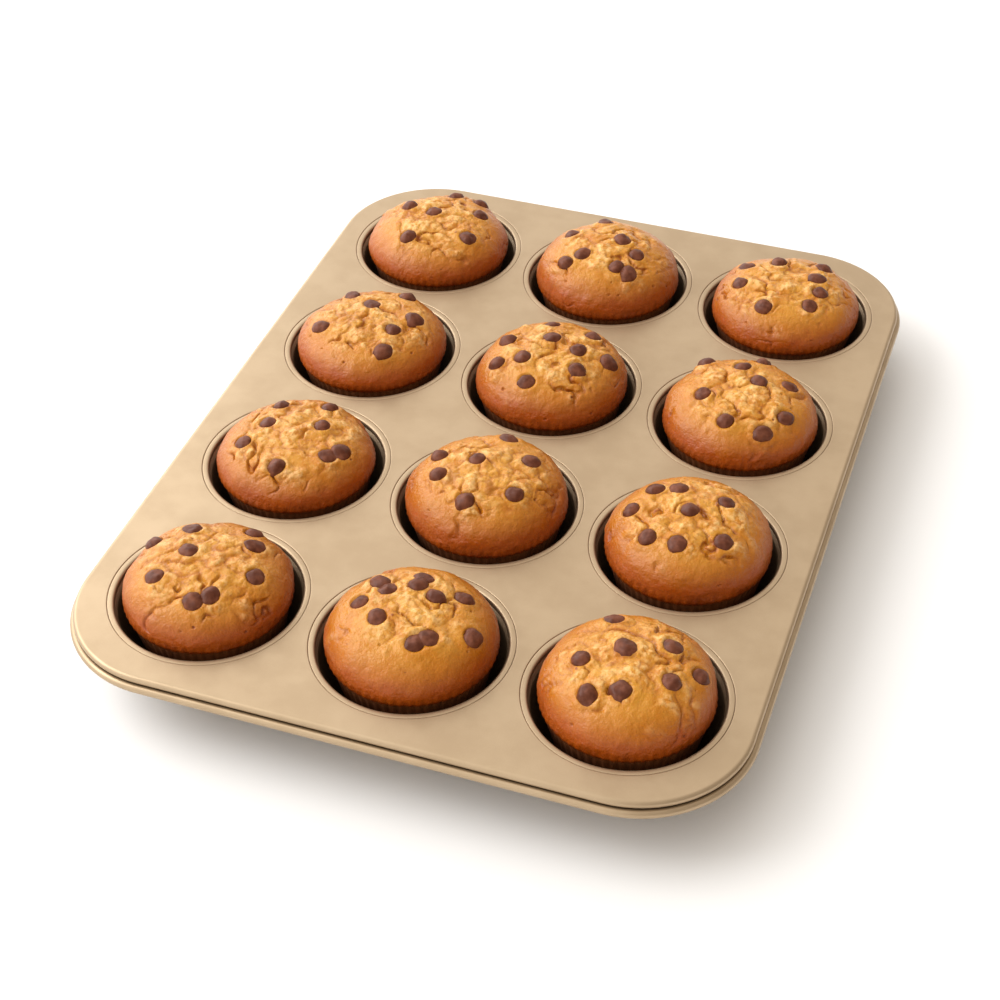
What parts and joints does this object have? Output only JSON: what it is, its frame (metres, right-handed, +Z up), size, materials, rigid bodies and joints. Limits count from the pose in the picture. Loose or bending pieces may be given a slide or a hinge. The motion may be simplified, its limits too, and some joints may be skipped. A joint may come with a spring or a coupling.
{
  "type": "muffin tin",
  "caption": "Rectangular coated steel muffin tin with rolled wire rim and tapered cups, each holding a lift-out chocolate chip muffin in a pleated paper case.",
  "frame": {"origin": "on the table under the middle of the tin, at the height of the cups' undersides", "axes": "+Z up, +X along the short side, +Y along the long side away from the front row"},
  "size_m": [0.264, 0.3486, 0.0512],
  "materials": {
    "coated_steel": "satin",
    "coated_cup": "satin",
    "bare_wire": "satin",
    "brown_paper": "matte",
    "baked_crumb": "matte"
  },
  "bodies": {
    "tin": {"top_sheet": "coated_steel", "rim_wire": "bare_wire", "cup_r1c1": "coated_cup", "cup_r1c2": "coated_cup", "cup_r1c3": "coated_cup", "cup_r2c1": "coated_cup", "cup_r2c2": "coated_cup", "cup_r2c3": "coated_cup", "cup_r3c1": "coated_cup", "cup_r3c2": "coated_cup", "cup_r3c3": "coated_cup", "cup_r4c1": "coated_cup", "cup_r4c2": "coated_cup", "cup_r4c3": "coated_cup"},
    "muffin_r1c1": {"case_r1c1": "brown_paper", "cake_r1c1": "baked_crumb"},
    "muffin_r1c2": {"case_r1c2": "brown_paper", "cake_r1c2": "baked_crumb"},
    "muffin_r1c3": {"case_r1c3": "brown_paper", "cake_r1c3": "baked_crumb"},
    "muffin_r2c1": {"case_r2c1": "brown_paper", "cake_r2c1": "baked_crumb"},
    "muffin_r2c2": {"case_r2c2": "brown_paper", "cake_r2c2": "baked_crumb"},
    "muffin_r2c3": {"case_r2c3": "brown_paper", "cake_r2c3": "baked_crumb"},
    "muffin_r3c1": {"case_r3c1": "brown_paper", "cake_r3c1": "baked_crumb"},
    "muffin_r3c2": {"case_r3c2": "brown_paper", "cake_r3c2": "baked_crumb"},
    "muffin_r3c3": {"case_r3c3": "brown_paper", "cake_r3c3": "baked_crumb"},
    "muffin_r4c1": {"case_r4c1": "brown_paper", "cake_r4c1": "baked_crumb"},
    "muffin_r4c2": {"case_r4c2": "brown_paper", "cake_r4c2": "baked_crumb"},
    "muffin_r4c3": {"case_r4c3": "brown_paper", "cake_r4c3": "baked_crumb"}
  },
  "joints": [
    {"name": "lift_r1c1", "type": "slide", "parent": "tin", "child": "muffin_r1c1", "axis": [0, 0, 1], "range_m": [0, 0.07]},
    {"name": "lift_r1c2", "type": "slide", "parent": "tin", "child": "muffin_r1c2", "axis": [0, 0, 1], "range_m": [0, 0.07]},
    {"name": "lift_r1c3", "type": "slide", "parent": "tin", "child": "muffin_r1c3", "axis": [0, 0, 1], "range_m": [0, 0.07]},
    {"name": "lift_r2c1", "type": "slide", "parent": "tin", "child": "muffin_r2c1", "axis": [0, 0, 1], "range_m": [0, 0.07]},
    {"name": "lift_r2c2", "type": "slide", "parent": "tin", "child": "muffin_r2c2", "axis": [0, 0, 1], "range_m": [0, 0.07]},
    {"name": "lift_r2c3", "type": "slide", "parent": "tin", "child": "muffin_r2c3", "axis": [0, 0, 1], "range_m": [0, 0.07]},
    {"name": "lift_r3c1", "type": "slide", "parent": "tin", "child": "muffin_r3c1", "axis": [0, 0, 1], "range_m": [0, 0.07]},
    {"name": "lift_r3c2", "type": "slide", "parent": "tin", "child": "muffin_r3c2", "axis": [0, 0, 1], "range_m": [0, 0.07]},
    {"name": "lift_r3c3", "type": "slide", "parent": "tin", "child": "muffin_r3c3", "axis": [0, 0, 1], "range_m": [0, 0.07]},
    {"name": "lift_r4c1", "type": "slide", "parent": "tin", "child": "muffin_r4c1", "axis": [0, 0, 1], "range_m": [0, 0.07]},
    {"name": "lift_r4c2", "type": "slide", "parent": "tin", "child": "muffin_r4c2", "axis": [0, 0, 1], "range_m": [0, 0.07]},
    {"name": "lift_r4c3", "type": "slide", "parent": "tin", "child": "muffin_r4c3", "axis": [0, 0, 1], "range_m": [0, 0.07]}
  ]
}
